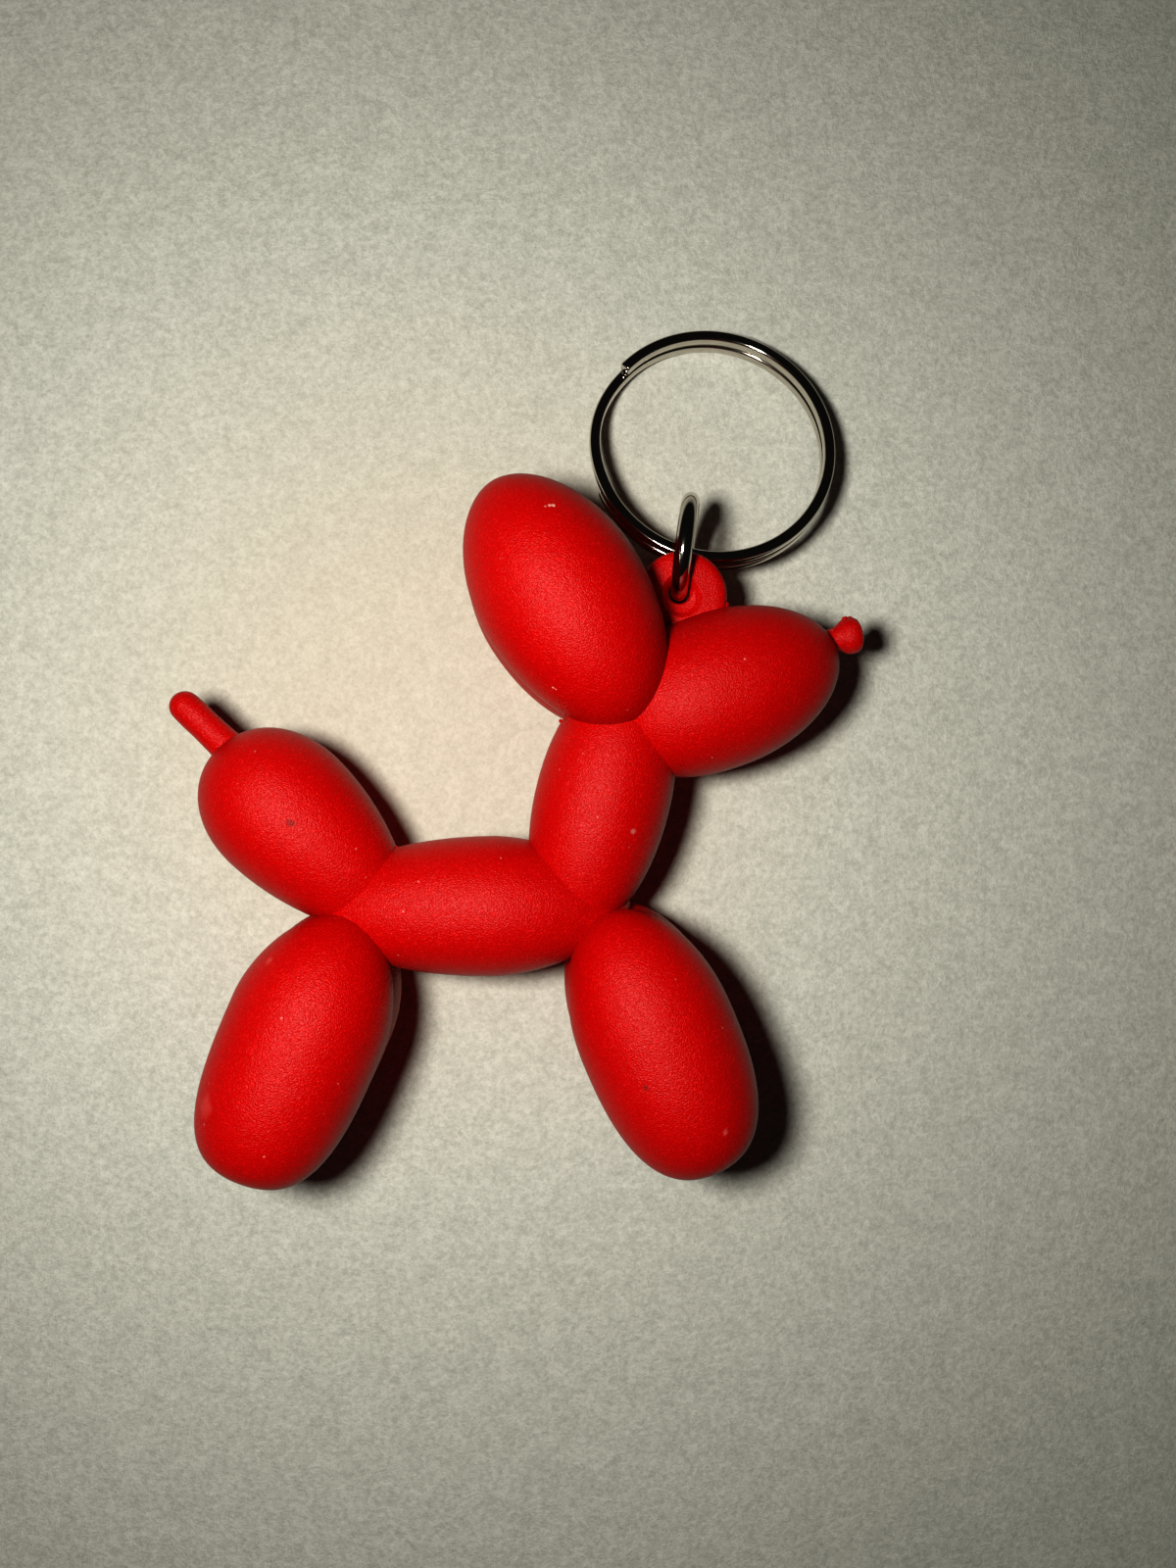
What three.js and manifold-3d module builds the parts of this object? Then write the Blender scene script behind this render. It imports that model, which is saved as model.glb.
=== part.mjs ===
// Balloon dog key fob: a moulded balloon dog lying on its side, a jump ring and a split ring.
// Millimetres, +Z up. X runs from the tail to the nose, Y from the feet to the head.

import * as THREE from 'three';
import { mergeVertices } from 'three/addons/utils/BufferGeometryUtils.js';
import Module from 'manifold-3d';

const wasm = await Module();
wasm.setup();

// Bubbles of the dog, in the dog's own frame with its middle plane at z = 0.
// from and to are the two ends of the axis, wide is where along it the bubble is widest,
// full holds how full each end is: 2 is an ellipse, more is blunter, less is more pointed.
const SNOUT = { from: [2.0, 5.15, 0], to: [23.65, 12.9, 0], radius: 7.52, wide: 0.48, full: [2.3, 1.97] };
const NECK = { from: [4.35, 10.25, 0], to: [-1.8, -13.95, 0], radius: 6.41, wide: 0.48, full: [2.12, 2.07] };
const BODY = { from: [-25.85, -11.55, 0], to: [3.95, -11.4, 0], radius: 6.61, wide: 0.57, full: [2.05, 1.71] };
const TAIL = { from: [-34.2, 3.4, 0], to: [-17.9, -12.75, 0], radius: 6.89, wide: 0.36, full: [2.1, 1.81] };
const EAR = { from: [4.35, 6.0, 3.95], to: [-8.95, 27.4, 3.95], radius: 7.79, wide: 0.53, full: [2.03, 1.87] };
const FRONT_LEG = { from: [1.45, -11.9, 2.5], to: [11.25, -35.0, 5.75], radius: 7.34, wide: 0.47, full: [2.0, 2.57] };
const HIND_LEG = { from: [-21.55, -12.0, 2.55], to: [-31.0, -34.9, 5.9], radius: 7.22, wide: 0.41, full: [1.81, 3.0] };

// Thin tip of the tail: a tapered rod with a round end
const TIP_FROM = [-31.8, 1.8, 0];
const TIP_TO = [-37.35, 7.2, 0];
const TIP_RADIUS_FROM = 1.75;
const TIP_RADIUS_TO = 1.45;

// Nozzle on the nose: a short stem that flares to a thick rolled lip
const NOZZLE_AT = [23.45, 13.8, 0];
const NOZZLE_RISE = 12;
const NOZZLE_PROFILE = [
  [0, -2.5], [1.2, -2.5], [1.0, -0.1], [1.15, 0.4], [1.5, 0.85],
  [1.75, 1.4], [1.78, 1.95], [1.5, 2.45], [0.85, 2.7], [0, 2.75],
];

// Eyelet between the ears: a disc with a round edge and a hole set a little off its middle
const EYELET_AT = [9.05, 17.55, 0];
const EYELET_RADIUS = 4.2;
const EYELET_THICKNESS = 2.1;
const EYELET_EDGE = 1.0;
const HOLE_AT = [8.8, 17.85, 0];
const HOLE_RADIUS = 1.6;

// Height of the dog's middle plane above the floor
const LIFT = 11.6;

// Jump ring: its wire passes through the eyelet, its plane is stood on edge
const JUMP_RADIUS = 4.6;
const JUMP_WIRE = 1.4;
const JUMP_AT = [9.35, 22.45, 10.4];
const JUMP_TURN = -7.4;
const JUMP_LEAN = 8;
const JUMP_GAP = 0.25;

// Split ring: pulled a little longer than it is wide
const SPLIT_OUTER = 24.8;
const SPLIT_LONG = 1.055;
const SPLIT_WIRE = 1.25;
const SPLIT_PITCH = 1.3;
const SPLIT_CENTRE = [13.15, 33.65, 4.78];
const SPLIT_TILT = 16.2;
const SPLIT_START = THREE.MathUtils.degToRad(202);
const SPLIT_TURNS = 1.82;

const plastic = new THREE.MeshStandardMaterial({ color: 0xdd0907, roughness: 0.55, metalness: 0 });
const nickel = new THREE.MeshStandardMaterial({ color: 0xb9b2a6, roughness: 0.18, metalness: 1 });

// A closed geometry as a manifold solid
function solid(geometry, matrix) {
  const g = geometry.clone();
  g.deleteAttribute('normal');
  g.deleteAttribute('uv');
  if (matrix) g.applyMatrix4(matrix);
  const m = mergeVertices(g, 1e-4);
  return new wasm.Manifold(new wasm.Mesh({
    numProp: 3,
    vertProperties: new Float32Array(m.attributes.position.array),
    triVerts: new Uint32Array(m.index.array),
  }));
}

function geometryOf(manifold) {
  const m = manifold.getMesh();
  const g = new THREE.BufferGeometry();
  g.setAttribute('position', new THREE.BufferAttribute(new Float32Array(m.vertProperties), 3));
  g.setIndex(new THREE.BufferAttribute(new Uint32Array(m.triVerts), 1));
  g.computeVertexNormals();
  return g;
}

// Turns a lathe, made about Y from y = 0, to run from one point towards another
function along(from, to) {
  const a = new THREE.Vector3(...from);
  const dir = new THREE.Vector3(...to).sub(a).normalize();
  const turn = new THREE.Quaternion().setFromUnitVectors(new THREE.Vector3(0, 1, 0), dir);
  return new THREE.Matrix4().compose(a, turn, new THREE.Vector3(1, 1, 1));
}

// One bubble: two blunt halves of a solid of revolution that meet at its widest section
function bubble({ from, to, radius, wide, full }, sides = 24, steps = 7) {
  const length = new THREE.Vector3(...from).distanceTo(new THREE.Vector3(...to));
  const profile = [];
  for (let i = 0; i <= 2 * steps; i++) {
    const t = -Math.cos((Math.PI * i) / (2 * steps));
    const n = t < 0 ? full[0] : full[1];
    const half = t < 0 ? wide * length : (1 - wide) * length;
    const r = radius * Math.max(0, 1 - Math.abs(t) ** n) ** (1 / n);
    profile.push(new THREE.Vector2(i % (2 * steps) === 0 ? 0 : r, wide * length + t * half));
  }
  return solid(new THREE.LatheGeometry(profile, sides), along(from, to));
}

function mirrored(b) {
  return { ...b, from: [b.from[0], b.from[1], -b.from[2]], to: [b.to[0], b.to[1], -b.to[2]] };
}

// Tail tip
function tailTip() {
  const length = new THREE.Vector3(...TIP_FROM).distanceTo(new THREE.Vector3(...TIP_TO));
  const profile = [new THREE.Vector2(0, 0), new THREE.Vector2(TIP_RADIUS_FROM, 0)];
  for (let i = 0; i <= 5; i++) {
    const a = (Math.PI / 2) * (i / 5);
    const r = i === 5 ? 0 : TIP_RADIUS_TO * Math.cos(a);
    profile.push(new THREE.Vector2(r, length + TIP_RADIUS_TO * Math.sin(a)));
  }
  return solid(new THREE.LatheGeometry(profile, 16), along(TIP_FROM, TIP_TO));
}

// Nozzle
function nozzle() {
  const rise = THREE.MathUtils.degToRad(NOZZLE_RISE);
  const to = [NOZZLE_AT[0] + Math.cos(rise), NOZZLE_AT[1] + Math.sin(rise), 0];
  const profile = NOZZLE_PROFILE.map(([r, s]) => new THREE.Vector2(r, s));
  return solid(new THREE.LatheGeometry(profile, 18), along(NOZZLE_AT, to));
}

// Eyelet: both its rim and the mouth of its hole are rounded
function eyelet() {
  const half = EYELET_THICKNESS / 2;
  const rim = [new THREE.Vector2(0, -half)];
  const mouth = [new THREE.Vector2(0, -half - 0.1), new THREE.Vector2(HOLE_RADIUS + EYELET_EDGE, -half - 0.1)];
  for (let i = 0; i <= 6; i++) {
    const a = -Math.PI / 2 + (Math.PI * i) / 6;
    const c = Math.max(0, Math.cos(a)) ** 0.8;
    const s = Math.sign(a) * Math.abs(Math.sin(a)) ** 0.8;
    rim.push(new THREE.Vector2(EYELET_RADIUS - EYELET_EDGE * (1 - c), half * s));
    mouth.push(new THREE.Vector2(HOLE_RADIUS + EYELET_EDGE * (1 - c), half * s));
  }
  rim.push(new THREE.Vector2(0, half));
  mouth.push(new THREE.Vector2(HOLE_RADIUS + EYELET_EDGE, half + 0.1), new THREE.Vector2(0, half + 0.1));
  const flat = new THREE.Matrix4().makeRotationX(Math.PI / 2);
  const disc = solid(new THREE.LatheGeometry(rim, 32), flat.clone().setPosition(...EYELET_AT));
  return disc.subtract(solid(new THREE.LatheGeometry(mouth, 24), flat.clone().setPosition(...HOLE_AT)));
}

// The whole moulding, joined as one skin, laid on its side and flattened where it touches the floor
function balloonDog() {
  let dog = bubble(SNOUT);
  for (const b of [NECK, BODY, TAIL]) dog = dog.add(bubble(b));
  for (const b of [EAR, FRONT_LEG, HIND_LEG]) dog = dog.add(bubble(b)).add(bubble(mirrored(b)));
  dog = dog.add(tailTip()).add(nozzle()).add(eyelet());
  const g = geometryOf(dog);
  g.translate(0, 0, LIFT);
  const floor = new THREE.BoxGeometry(200, 200, 20);
  floor.translate(0, 0, -10);
  const lying = solid(g).subtract(solid(floor));
  return new THREE.Mesh(geometryOf(lying), plastic);
}

// Jump ring: round wire bent to a ring, with its cut ends in the eyelet's hole
class Arc extends THREE.Curve {
  constructor(radius, start, sweep) {
    super();
    this.radius = radius;
    this.start = start;
    this.sweep = sweep;
  }

  getPoint(t, target = new THREE.Vector3()) {
    const a = this.start + this.sweep * t;
    return target.set(this.radius * Math.cos(a), this.radius * Math.sin(a), 0);
  }
}

function roundSection(diameter, sides) {
  const shape = new THREE.Shape();
  for (let i = 0; i < sides; i++) {
    const a = (2 * Math.PI * i) / sides;
    const x = (diameter / 2) * Math.cos(a);
    const y = (diameter / 2) * Math.sin(a);
    if (i === 0) shape.moveTo(x, y);
    else shape.lineTo(x, y);
  }
  shape.closePath();
  return shape;
}

function jumpRing() {
  const gap = JUMP_GAP / JUMP_RADIUS;
  const arc = new Arc(JUMP_RADIUS, -Math.PI / 2 + gap / 2, 2 * Math.PI - gap);
  const g = new THREE.ExtrudeGeometry(roundSection(JUMP_WIRE, 10), { steps: 40, extrudePath: arc });
  const mesh = new THREE.Mesh(g, nickel);
  // the ring's own plane is stood on edge, then leaned and turned
  mesh.rotation.set(0, THREE.MathUtils.degToRad(90 - JUMP_LEAN), 0);
  const stand = new THREE.Group();
  stand.rotation.z = THREE.MathUtils.degToRad(JUMP_TURN);
  stand.position.set(...JUMP_AT);
  stand.add(mesh);
  return { mesh, stand };
}

// Split ring: one wire wound nearly twice, the second turn lying on the first. The wire climbs
// in the short stretch between its two cut ends.
class Coil extends THREE.Curve {
  getPoint(t, target = new THREE.Vector3()) {
    const turn = SPLIT_TURNS * t;
    const a = SPLIT_START + 2 * Math.PI * turn;
    const climb = THREE.MathUtils.smoothstep(turn, SPLIT_TURNS - 1, 1);
    const r = (SPLIT_OUTER - SPLIT_WIRE) / 2;
    return target.set(r * Math.cos(a), r * SPLIT_LONG * Math.sin(a), SPLIT_PITCH * (climb - 0.5));
  }
}

function splitRing() {
  const g = new THREE.ExtrudeGeometry(roundSection(SPLIT_WIRE, 8), { steps: 96, extrudePath: new Coil() });
  const mesh = new THREE.Mesh(g, nickel.clone());
  mesh.position.set(...SPLIT_CENTRE);
  mesh.rotation.x = THREE.MathUtils.degToRad(-SPLIT_TILT);
  return mesh;
}

const group = new THREE.Group();
const dog = balloonDog();
dog.name = 'balloon_dog';
const { mesh: jump, stand } = jumpRing();
jump.name = 'jump_ring';
const split = splitRing();
split.name = 'split_ring';
group.add(dog, stand, split);

// Origin under the middle of the whole, on the floor
group.updateMatrixWorld(true);
const box = new THREE.Box3().setFromObject(group, true);
group.position.set(-(box.min.x + box.max.x) / 2, -(box.min.y + box.max.y) / 2, -box.min.z);
group.updateMatrixWorld(true);

export default group;
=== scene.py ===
import math

import bpy
import numpy as np
from mathutils import Matrix, Vector


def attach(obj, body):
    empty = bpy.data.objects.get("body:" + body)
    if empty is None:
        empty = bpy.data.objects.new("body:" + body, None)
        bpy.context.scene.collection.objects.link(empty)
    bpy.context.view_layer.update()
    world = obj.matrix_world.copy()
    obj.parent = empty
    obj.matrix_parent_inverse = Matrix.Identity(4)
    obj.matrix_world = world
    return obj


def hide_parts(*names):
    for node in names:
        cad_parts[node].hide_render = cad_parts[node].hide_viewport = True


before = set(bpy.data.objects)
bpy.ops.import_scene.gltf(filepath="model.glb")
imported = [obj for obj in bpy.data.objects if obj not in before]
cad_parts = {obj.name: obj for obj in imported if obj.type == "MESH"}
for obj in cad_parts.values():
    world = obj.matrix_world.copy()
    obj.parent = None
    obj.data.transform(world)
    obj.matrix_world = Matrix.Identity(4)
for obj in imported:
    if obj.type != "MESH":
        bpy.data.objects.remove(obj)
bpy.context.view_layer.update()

# The dog is one injection moulding in soft red plastic, shaped like a twisted balloon dog. Each of
# its bubbles is a turned solid with two blunt halves, and all are joined as one skin. The bubbles
# give both ends of the axis, the radius, where along it they are widest, and how full each end is.
MM = 0.001
DOG_AT = Vector((6.26, -5.301, 11.6))
SIDES, STEPS = ((120, 34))
BUBBLES = {
    "snout": ((2.0, 5.15, 0), (23.65, 12.9, 0), 7.52, 0.48, (2.3, 1.97)),
    "neck": ((4.35, 10.25, 0), (-1.8, -13.95, 0), 6.41, 0.48, (2.12, 2.07)),
    "body": ((-25.85, -11.55, 0), (3.95, -11.4, 0), 6.61, 0.57, (2.05, 1.71)),
    "tail": ((-34.2, 3.4, 0), (-17.9, -12.75, 0), 6.89, 0.36, (2.1, 1.81)),
    "ear": ((4.35, 6.0, 3.95), (-8.95, 27.4, 3.95), 7.79, 0.53, (2.03, 1.87)),
    "front_leg": ((1.45, -11.9, 2.5), (11.25, -35.0, 5.75), 7.34, 0.47, (2.0, 2.57)),
    "hind_leg": ((-21.55, -12.0, 2.55), (-31.0, -34.9, 5.9), 7.22, 0.41, (1.81, 3.0)),
}
PAIRED = ("ear", "front_leg", "hind_leg")
# How much thinner the bubbles are than the CAD's, so that the skin stays inside its box
INSET = 0.04


def new_object(name, verts, faces, material, smooth=True):
    """A mesh object from points in millimetres, in the row frame."""
    mesh = bpy.data.meshes.new(name)
    mesh.from_pydata((np.asarray(verts) * MM).tolist(), [], faces)
    mesh.update()
    mesh.shade_smooth() if smooth else mesh.shade_flat()
    if material:
        mesh.materials.append(material)
    made = bpy.data.objects.new(name, mesh)
    bpy.context.scene.collection.objects.link(made)
    return made


def turned(profile, start, end, sides):
    """A turned solid: profile is (distance from the axis, distance along it) from end to end."""
    start, end = Vector(start) + DOG_AT, Vector(end) + DOG_AT
    axis = (end - start).normalized()
    turn = np.array(Vector((0, 0, 1)).rotation_difference(axis).to_matrix())
    angle = np.linspace(0, 2 * math.pi, sides, endpoint=False)
    ring = np.stack([np.cos(angle), np.sin(angle), 0 * angle], 1)
    rows = [r * ring + (0, 0, s) for r, s in profile[1:-1]]
    tips = [[(0, 0, profile[0][1])], [(0, 0, profile[-1][1])]]
    verts = np.concatenate([tips[0], *rows, tips[1]]) @ turn.T + np.array(start)
    last = len(verts) - 1
    faces = []
    for j in range(sides):
        k = (j + 1) % sides
        faces.append((0, 1 + k, 1 + j))
        for i in range(len(rows) - 1):
            a, b = 1 + i * sides, 1 + (i + 1) * sides
            faces.append((a + j, a + k, b + k, b + j))
        a = 1 + (len(rows) - 1) * sides
        faces.append((a + j, a + k, last))
    return new_object("turned", verts, faces, None)


def bubble(start, end, radius, wide, full):
    """One balloon bubble: two blunt halves that meet at its widest section."""
    length = (Vector(end) - Vector(start)).length
    profile = []
    for i in range(2 * STEPS + 1):
        t = -math.cos(math.pi * i / (2 * STEPS))
        n = full[0] if t < 0 else full[1]
        half = wide * length if t < 0 else (1 - wide) * length
        r = (radius - INSET) * max(0.0, 1 - abs(t) ** n) ** (1 / n)
        profile.append((r, wide * length + t * half))
    return turned(profile, start, end, SIDES)


parts = []
for name, (start, end, radius, wide, full) in BUBBLES.items():
    parts.append(bubble(start, end, radius, wide, full))
    if name in PAIRED:
        far = [(x, y, -z) for x, y, z in (start, end)]
        parts.append(bubble(*far, radius, wide, full))

# The thin tip that ends the tail, a little waisted, with a round end
TIP_END = 7.74
TIP_RADIUS = 1.43
tip = [(0, 0), (1.75, 0), (1.66, 1.6), (1.52, 3.4), (1.46, 5.2), (1.48, 6.6), (1.45, 7.6)]
for a in np.linspace(0.1, 1.5, 12):
    tip.append((TIP_RADIUS * math.cos(a), TIP_END + TIP_RADIUS * math.sin(a)))
tip.append((0, TIP_END + TIP_RADIUS))
parts.append(turned(tip, (-31.8, 1.8, 0), (-37.35, 7.2, 0), 48))

# The nozzle on the nose: a short stem that flares to a thick rolled lip, its end a little dished
nozzle = [
    (0, -2.5), (1.2, -2.5), (1.02, -0.3), (1.05, 0.1), (1.18, 0.45), (1.38, 0.75), (1.56, 1.0),
    (1.68, 1.25), (1.74, 1.55), (1.75, 1.9), (1.68, 2.2), (1.5, 2.47), (1.2, 2.62), (0.9, 2.64),
    (0.6, 2.6), (0.3, 2.56), (0, 2.55),
]
NOZZLE_AT = Vector((23.45, 13.8, 0))
NOZZLE_RISE = math.radians(12)
ahead = Vector((math.cos(NOZZLE_RISE), math.sin(NOZZLE_RISE), 0))
parts.append(turned(nozzle, NOZZLE_AT, NOZZLE_AT + ahead, 48))


def crumb(x, y, z, radius):
    """A crumb of flash left by the mould."""
    ball = [(radius * math.sin(a), -radius * math.cos(a)) for a in np.linspace(0, math.pi, 9)]
    ball[0], ball[-1] = (0, -radius), (0, radius)
    return turned(ball, (x, y, z), (x, y + 1, z + 0.6), 10)


# Where the crumbs lie on the parting line, and their radius
FLASH = [
    (-26.2, -11.9, 0.26), (-5.1, -5.4, 0.18), (-18.0, -5.95, 0.2), (13.1, 17.0, 0.32),
    (-17.8, -17.0, 0.2), (10.7, 0.9, 0.24), (-2.6, 5.95, 0.18),
    (24.6, 15.62, 0.38), (25.05, 15.72, 0.3), (24.2, 15.2, 0.32), (13.0, 16.7, 0.3),
]
for x, y, radius in FLASH:
    parts.append(crumb(x, y, 0.12, radius))

# The eyelet between the ears: a disc with a rounded edge, and a hole that narrows to its middle,
# with a dip beside its mouth on both faces
EYELET_AT = (8.95, 17.8)
EYELET_HALF = 1.05
HOLE_AT = (8.63, 18.1)
DIP_AT = (8.8, 17.5)


def upright(profile, at, sides, way=1):
    """A turned solid on the dog's middle plane, its axis up for way 1 and down for way -1."""
    return turned(profile, (*at, 0), (*at, way), sides)


def eyelet_edge(radius, outward):
    """The rounded half of a profile, from the lower face to the upper one."""
    rows = []
    for a in np.linspace(-math.pi / 2, math.pi / 2, 14):
        c = max(0.0, math.cos(a)) ** 0.8
        rise = math.copysign(abs(math.sin(a)) ** 0.8, a)
        rows.append((radius - outward * (1 - c), EYELET_HALF * rise))
    return rows


rim = [(0, -EYELET_HALF), *eyelet_edge(4.25, 1.35), (0, EYELET_HALF)]
disc = upright(rim, EYELET_AT, 72)
mouth = [(0, -1.3), (2.0, -1.3), (1.65, -1.0), (1.2, -0.4), (1.03, 0), (1.2, 0.4), (1.65, 1.0)]
hole = upright(mouth + [(2.0, 1.3), (0, 1.3)], HOLE_AT, 56)
dip = [(0, 0.35), (0.9, 0.4), (1.35, 0.55), (1.6, 0.8), (1.85, 1.05), (2.1, 1.3), (0, 1.3)]
dips = [upright(dip, DIP_AT, 56, way) for way in (1, -1)]


def combine(target, others, operation):
    """The target as a new mesh, with the others added to it or cut from it; they are used up."""
    for other in others:
        step = target.modifiers.new("step", "BOOLEAN")
        step.operation = operation
        step.solver = "MANIFOLD"
        step.object = other
    graph = bpy.context.evaluated_depsgraph_get()
    mesh = bpy.data.meshes.new_from_object(target.evaluated_get(graph))
    for used in (target, *others):
        bpy.data.objects.remove(used)
    made = bpy.data.objects.new("combined", mesh)
    bpy.context.scene.collection.objects.link(made)
    return made


parts.append(combine(disc, [hole, *dips], "DIFFERENCE"))
whole = combine(parts[0], parts[1:], "UNION")

# It lies on small flats where the far ear and feet touch the floor
corners = [(x, y, z) for z in (-9, 0) for x, y in ((-90, -90), (90, -90), (90, 90), (-90, 90))]
walls = [(0, 3, 2, 1), (4, 5, 6, 7), (0, 1, 5, 4), (1, 2, 6, 5), (2, 3, 7, 6), (3, 0, 4, 7)]
dog = combine(whole, [new_object("below", corners, walls, None)], "DIFFERENCE")
dog.name = "balloon_dog_skin"
skin = dog.data
skin.materials.clear()
skin.shade_smooth()
skin.set_sharp_from_angle(angle=math.radians(24))


class Value:
    """A shader socket that takes part in Python arithmetic by adding Math nodes."""

    def __init__(self, tree, socket):
        self.tree = tree
        self.socket = socket

    def math(self, operation, *others):
        node = self.tree.nodes.new("ShaderNodeMath")
        node.operation = operation
        for slot, value in zip(node.inputs, (self, *others)):
            if isinstance(value, Value):
                self.tree.links.new(value.socket, slot)
            else:
                slot.default_value = value
        return Value(self.tree, node.outputs[0])

    def __add__(self, other):
        return self.math("ADD", other)

    def __sub__(self, other):
        return self.math("SUBTRACT", other)

    def __mul__(self, other):
        return self.math("MULTIPLY", other)

    def __truediv__(self, other):
        return self.math("DIVIDE", other)

    def __rsub__(self, other):
        return (self * -1.0) + other

    __radd__ = __add__
    __rmul__ = __mul__

    def abs(self):
        return self.math("ABSOLUTE")

    def clamp(self):
        return self.math("MAXIMUM", 0.0).math("MINIMUM", 1.0)

    def ramp(self, low, high):
        """0 below low and 1 above high, with soft ends; high may be the smaller one."""
        t = ((self - low) / (high - low)).clamp()
        return t * t * (3.0 - 2.0 * t)


class Material:
    """A material with a Principled BSDF, and the short ways of adding nodes to it."""

    def __init__(self, name):
        self.material = bpy.data.materials.new(name)
        self.material.use_nodes = True
        self.tree = self.material.node_tree
        self.bsdf = self.tree.nodes["Principled BSDF"]

    def node(self, kind, settings=None, **inputs):
        """A new node of the given kind; inputs are named with _ for a space."""
        made = self.tree.nodes.new("ShaderNode" + kind)
        for key, value in (settings or {}).items():
            setattr(made, key, value)
        for key, value in inputs.items():
            self.put(made.inputs[key.replace("_", " ")], value)
        return made

    def put(self, socket, value):
        if isinstance(value, Value):
            value = value.socket
        if isinstance(value, bpy.types.NodeSocket):
            self.tree.links.new(value, socket)
        else:
            socket.default_value = value

    def value(self, socket):
        return Value(self.tree, socket)

    def place(self):
        """The point being shaded, in the object's own metres."""
        return self.node("TexCoord").outputs["Object"]

    def noise(self, where, scale, detail, roughness):
        """Cloudy noise around a half, with scale features to the metre."""
        made = self.node("TexNoise", Vector=where, Scale=scale, Detail=detail, Roughness=roughness)
        return self.value(made.outputs["Factor" if "Factor" in made.outputs else "Fac"])

    def mix(self, factor, a, b):
        """Colour a where factor is 0 and b where it is 1."""
        made = self.node("Mix", {"data_type": "RGBA"})
        self.put(made.inputs[0], factor)
        self.put(made.inputs[6], a)
        self.put(made.inputs[7], b)
        return made.outputs[2]

    def distance(self, where, point):
        """How far the place is from a point, both in metres."""
        made = self.node("VectorMath", {"operation": "DISTANCE"})
        self.put(made.inputs[0], where)
        made.inputs[1].default_value = point
        return self.value(made.outputs["Value"])

    def bump(self, height, reach, strength=1.0, under=None):
        """A bump of the given height map, reach in metres; under is the normal it adds to."""
        made = self.node("Bump", Height=height, Distance=reach, Strength=strength)
        if under is not None:
            self.put(made.inputs["Normal"], under)
        return made.outputs["Normal"]


# Its plastic is matt from a spark-eroded mould, with a faint parting ridge and a few marks
PARTING = DOG_AT[2]
plastic = Material("red_plastic")
here = plastic.place()
grain = plastic.noise(here, 7200, 1.0, 0.6)
waves = plastic.noise(here, 260, 2.0, 0.5)
mottle = plastic.noise(here, 900, 4.0, 0.6)
xyz = plastic.node("SeparateXYZ", Vector=here)
height = plastic.value(xyz.outputs["Z"]) / MM - PARTING
ridge = (height + (waves - 0.5) * 0.15).abs().ramp(0.22, 0.03)
# Painted highlight: pale specks of glint are painted into the colour, standing in for the sparkle
# of light on the grain
painted_glints = plastic.noise(here, 5200, 1.0, 0.5).ramp(0.54, 0.7)
red = plastic.mix(mottle, (0.415, 0.0003, 0.0002, 1), (0.49, 0.0006, 0.0004, 1))
red = plastic.mix(painted_glints * 0.5, red, (0.72, 0.016, 0.014, 1))
PALE = (0.85, 0.42, 0.36, 1)

# Each mark's place, radius, colour and strength: a dark fleck, scuffs, and short pale fibres
MARKS = [
    ((-20.3, -8.6, 18.25), 0.55, (0.22, 0.01, 0.008, 1), 0.75),
    ((10.6, -31.2, 22.65), 0.38, (0.12, 0.012, 0.01, 1), 0.7),
    ((10.0, -9.45, 17.1), 0.45, (0.62, 0.30, 0.27, 1), 0.55),
    ((-27.0, -32.55, 21.0), 1.2, (0.70, 0.10, 0.09, 1), 0.35),
    ((17.4, -35.2, 22.35), 0.5, (0.70, 0.16, 0.15, 1), 0.6),
    ((-22.0, -20.5, 18.95), 0.6, (0.70, 0.10, 0.09, 1), 0.4),
    ((2.0, 18.62, 21.42), 0.17, PALE, 0.5),
    ((2.35, 18.75, 21.34), 0.2, PALE, 0.8),
    ((2.7, 18.76, 21.3), 0.2, PALE, 0.8),
    ((2.75, 3.3, 19.46), 0.17, PALE, 0.8),
    ((3.0, 3.18, 19.46), 0.16, PALE, 0.8),
]
for point, radius, colour, amount in MARKS:
    away = plastic.distance(here, tuple(c * MM for c in point)) / MM
    spot = (away + (mottle - 0.5) * 1.6 * radius).ramp(radius, radius * 0.35) * amount
    red = plastic.mix(spot, red, colour)
specks = plastic.node("TexVoronoi", Vector=here, Scale=520.0)
dust = plastic.value(specks.outputs["Distance"]).ramp(0.07, 0.025)
some = plastic.noise(here, 120, 1.0, 0.5).ramp(0.48, 0.58)
red = plastic.mix(dust * some * 0.45, red, (0.85, 0.45, 0.4, 1))
plastic.put(plastic.bsdf.inputs["Base Color"], red)
plastic.put(plastic.bsdf.inputs["Roughness"], 0.35 + 0.08 * mottle)
plastic.put(plastic.bsdf.inputs["Specular IOR Level"], 0.21)
fine = plastic.bump(grain, 0.085 * MM, 1.0)
broad = plastic.bump(waves, 0.06 * MM, 1.0, fine)
plastic.put(plastic.bsdf.inputs["Normal"], plastic.bump(ridge, 0.05 * MM, 1.0, broad))
skin.materials.append(plastic.material)
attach(dog, "root")
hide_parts("balloon_dog")


# The jump ring is round steel wire with bright nickel plate, bent to a ring and closed by hand.
# Its butted ends sit in the eyelet's hole, and the split ring hangs from it.
def nickel(name, scratches):
    """Bright nickel plate, finely scratched by keys; scratches is how deep, in millimetres."""
    made = Material(name)
    here = made.place()
    lines = made.noise(here, 2600, 3.0, 0.6)
    cloud = made.noise(here, 500, 3.0, 0.5)
    colour = made.mix(cloud, (0.52, 0.48, 0.43, 1), (0.64, 0.605, 0.55, 1))
    made.put(made.bsdf.inputs["Base Color"], colour)
    made.put(made.bsdf.inputs["Metallic"], 1.0)
    made.put(made.bsdf.inputs["Roughness"], 0.05 + 0.09 * cloud)
    made.put(made.bsdf.inputs["Normal"], made.bump(lines, scratches * MM))
    return made.material


def unit(v):
    return v / np.linalg.norm(v)


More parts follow.
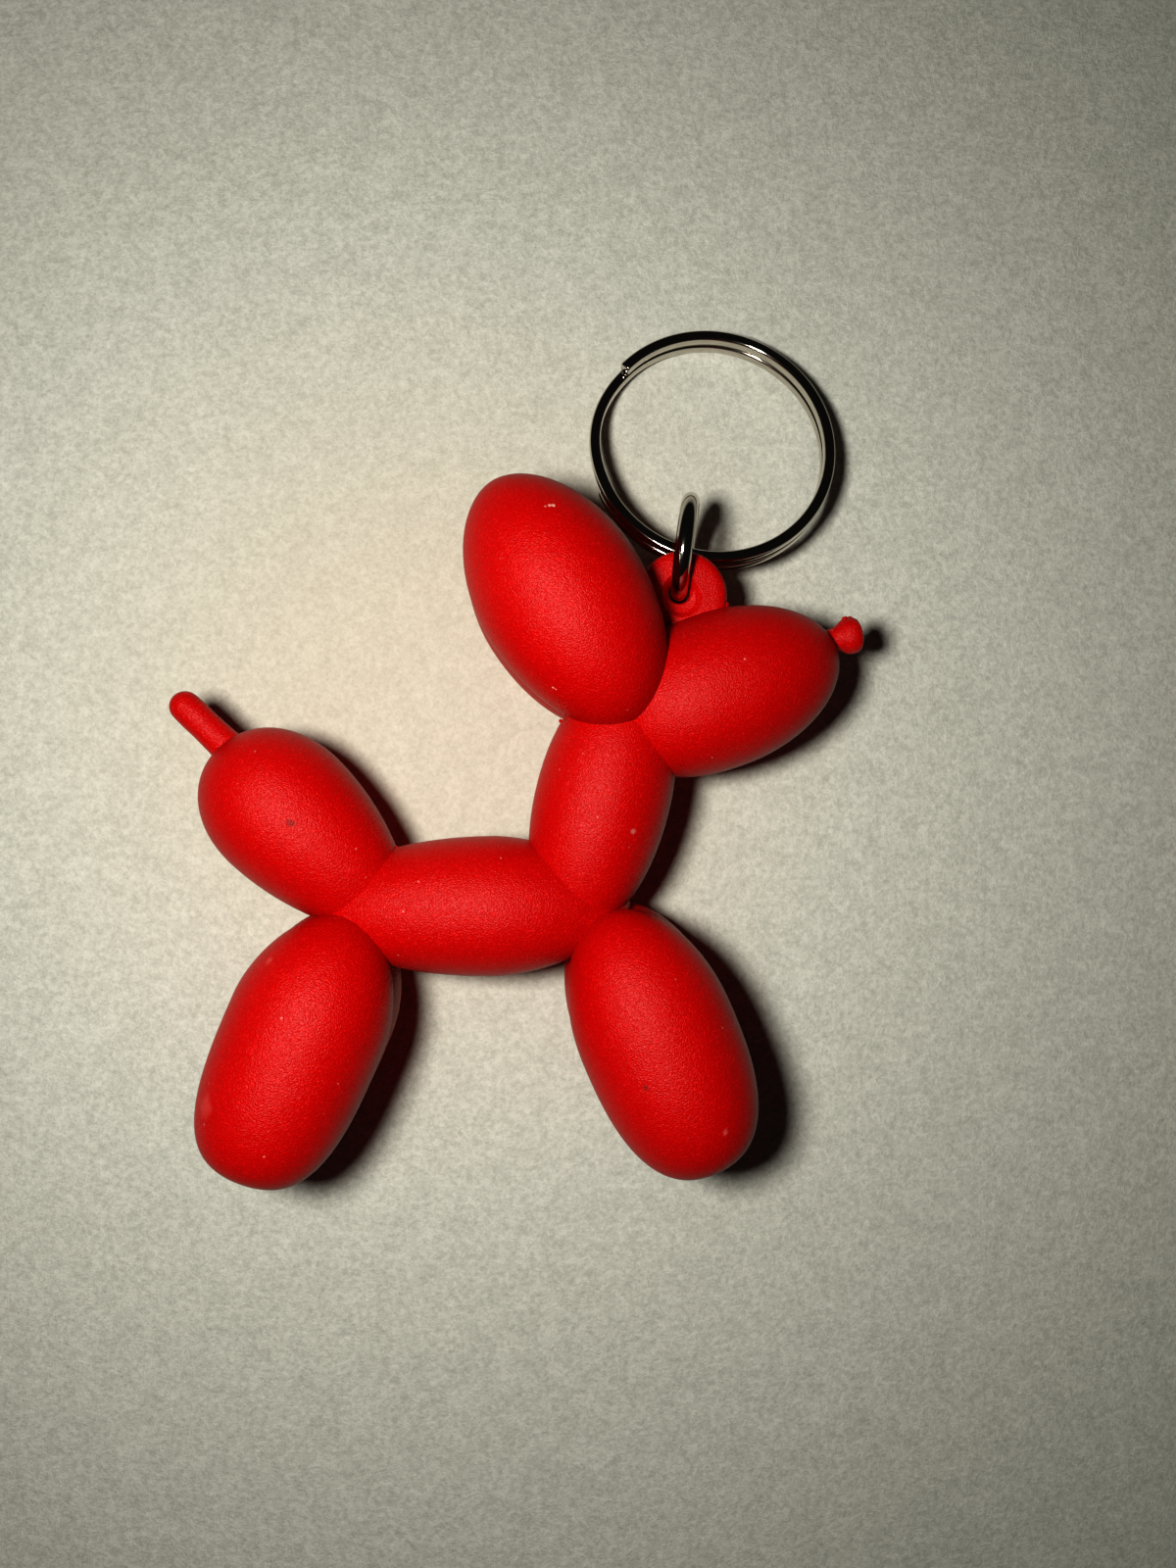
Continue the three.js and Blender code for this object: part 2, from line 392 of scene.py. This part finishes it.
def sweep(path, tangent, across, section, bevel):
    """A wire: the section carried along the path, with a chamfer on its two cut ends.
    across gives the section's first direction at each step."""
    rows = []
    count = len(path)
    order = [0] + list(range(count)) + [count - 1]
    for k, i in enumerate(order):
        t = unit(tangent[i])
        u = unit(across[i] - (across[i] @ t) * t)
        v = np.cross(t, u)
        end = k in (0, len(order) - 1)
        shrink = 1 - bevel / np.abs(section).max() if end else 1.0
        shift = 0.0
        if k == 1:
            shift = bevel
        if k == len(order) - 2:
            shift = -bevel
        rows.append(path[i] + shift * t + shrink * (section[:, :1] * u + section[:, 1:] * v))
    verts = np.concatenate(rows)
    n = len(section)
    faces = []
    for k in range(len(order) - 1):
        for j in range(n):
            a, b = k * n + j, k * n + (j + 1) % n
            faces.append([a, b, b + n, a + n])
    last = (len(order) - 1) * n
    faces.append(list(range(n))[::-1])
    faces.append(list(range(last, last + n)))
    return verts, faces


# Its middle, mean radius, the wire's radius, and the angle of the cut in radians
JUMP_AT = np.array([9.35 + DOG_AT.x, 22.45 + DOG_AT.y, 10.4])
JUMP_RADIUS = 4.57
JUMP_WIRE = 0.84
JUMP_CUT = 0.22 / 4.6
JUMP_TURN = Matrix.Rotation(math.radians(-7.4), 3, "Z")
JUMP_LEAN = Matrix.Rotation(math.radians(90 - 8), 3, "Y")
turn = np.array(JUMP_TURN @ JUMP_LEAN)
angle = np.linspace(-math.pi / 2 + JUMP_CUT / 2, 1.5 * math.pi - JUMP_CUT / 2, 161)
flat = np.stack([np.cos(angle), np.sin(angle), 0 * angle], 1)
side = np.stack([-np.sin(angle), np.cos(angle), 0 * angle], 1)
around = np.linspace(0, 2 * math.pi, 32, endpoint=False)
round_wire = JUMP_WIRE * np.stack([np.cos(around), np.sin(around)], 1)
ring = (JUMP_RADIUS * flat) @ turn.T + JUMP_AT
verts, faces = sweep(ring, side @ turn.T, flat @ turn.T, round_wire, 0.08)
jump = new_object("jump_ring_wire", verts, faces, nickel("jump_nickel", 0.0006))
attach(jump, "root")
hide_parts("jump_ring")


# The split ring is spring steel wire with the same nickel plate, rolled slightly flat and wound
# nearly twice. It climbs from the lower turn to the upper one in the stretch between its two cut
# ends, and hangs on the jump ring.
SPLIT_AT = np.array([12.85 + DOG_AT.x, 33.65 + DOG_AT.y, 4.78])
SPLIT_TILT = math.radians(-16.2)
SPLIT_TURNS = 1.82
SPLIT_START = math.radians(202)
SPLIT_PITCH = 1.3
SPLIT_OUTER = 24.8
# How much longer than wide it has been pulled, and the strip's width, half sizes and squareness
SPLIT_LONG = 1.053
STRIP = 1.25
STRIP_HALVES = (0.57, 0.6)
SQUARENESS = 0.55
tilt = np.array(Matrix.Rotation(SPLIT_TILT, 3, "X"))
turns = np.linspace(0, SPLIT_TURNS, 421)
angle = SPLIT_START + 2 * math.pi * turns
rise = np.clip((turns - (SPLIT_TURNS - 1)) / (2 - SPLIT_TURNS), 0, 1)
rise = SPLIT_PITCH * (rise * rise * (3 - 2 * rise) - 0.5)
radius = (SPLIT_OUTER - STRIP) / 2
path = np.stack([radius * np.cos(angle), SPLIT_LONG * radius * np.sin(angle), rise], 1)
tangent = np.gradient(path, axis=0)
outward = np.stack([np.cos(angle), np.sin(angle), 0 * angle], 1)
corner = np.sign(np.cos(around)) * np.abs(np.cos(around)) ** SQUARENESS
level = np.sign(np.sin(around)) * np.abs(np.sin(around)) ** SQUARENESS
flat_wire = np.stack([STRIP_HALVES[0] * corner, STRIP_HALVES[1] * level], 1)
verts, faces = sweep(path @ tilt.T + SPLIT_AT, tangent @ tilt.T, outward @ tilt.T, flat_wire, 0.12)
split = new_object("split_ring_wire", verts, faces, nickel("split_nickel", 0.0005))
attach(split, "root")
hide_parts("split_ring")


# The floor is a plain pale sheet with a slight tooth, lying still and level under the fob. A warm
# pool of the lamp's light is painted into its colour near the middle of the light.
floor_material = Material("pale_floor")
here = floor_material.place()
askew = floor_material.node("Mapping", Vector=here, Rotation=(0.7, 0.5, 0.3)).outputs["Vector"]
fuzz = floor_material.noise(askew, 1500, 6.0, 0.85)
pulp = floor_material.noise(askew, 420, 3.0, 0.6)
weave = fuzz.ramp(0.33, 0.67) * 0.8 + pulp.ramp(0.3, 0.7) * 0.2
tint = floor_material.mix(weave, (0.56, 0.563, 0.495, 1), (0.87, 0.868, 0.78, 1))
# Painted light: a warm pool of lamp light is painted into the floor's colour around the spot near
# the lamp
painted_light_pool = (floor_material.distance(here, (-0.01, 0.003, 0)) / MM).ramp(52, 8) * 0.42
tint = floor_material.mix(painted_light_pool, tint, (0.7, 0.58, 0.43, 1))
floor_material.put(floor_material.bsdf.inputs["Base Color"], tint)
floor_material.put(floor_material.bsdf.inputs["Roughness"], 0.9)
floor_material.put(floor_material.bsdf.inputs["Normal"], floor_material.bump(fuzz, 0.22 * MM))
REACH = 2500
corners = [(-REACH, -REACH, 0), (REACH, -REACH, 0), (REACH, REACH, 0), (-REACH, REACH, 0)]
floor = new_object("floor", corners, [[0, 1, 2, 3]], floor_material.material, smooth=False)


# The light is one small soft lamp just left of the camera, as in the photo, so each shadow falls
# close to its form on the right. A dim even surround fills the rest.
KEY_AT = Vector((-26.4, 0.5, 121.2))
KEY_AIM = Vector((8, -3, 0))
lamp = bpy.data.lights.new("key", "AREA")
lamp.shape = "DISK"
lamp.size = 20 * MM
lamp.energy = 0.139
lamp.color = (1.0, 0.985, 0.93)
key = bpy.data.objects.new("key", lamp)
key.location = KEY_AT * MM
key.rotation_euler = (KEY_AIM - KEY_AT).to_track_quat("-Z", "Y").to_euler()
bpy.context.scene.collection.objects.link(key)
world = bpy.data.worlds.new("surround")
world.use_nodes = True
world.node_tree.nodes["Background"].inputs["Color"].default_value = (1.0, 0.98, 0.95, 1)
world.node_tree.nodes["Background"].inputs["Strength"].default_value = 0.012
bpy.context.scene.world = world


# The camera looks down from close above the dog's flank, at the photo's own angle. Its lens is
# set from the focal length in pixels that the perspective of the photo gave.
SENSOR = 36
FOCAL_PIXELS = 1202
FRAME_PIXELS = 1600
lens = bpy.data.cameras.new("camera")
lens.lens = FOCAL_PIXELS / FRAME_PIXELS * SENSOR
lens.sensor_width = SENSOR
lens.clip_start = 0.001
camera = bpy.data.objects.new("camera", lens)
bpy.context.scene.collection.objects.link(camera)
CAMERA_AT = Vector((-0.346, -3.61, 122.791))
look = Vector((0.0593, -0.01518, -0.99812)).normalized()
top = Vector((0.0009, 0.99988, -0.01516))
right = look.cross(top).normalized()
top = right.cross(look)
turn = Matrix((right, top, -look)).transposed().to_4x4()
camera.matrix_world = Matrix.Translation(CAMERA_AT * MM) @ turn
bpy.context.scene.camera = camera
bpy.context.scene.view_settings.view_transform = "Standard"
bpy.context.scene.view_settings.look = "High Contrast"
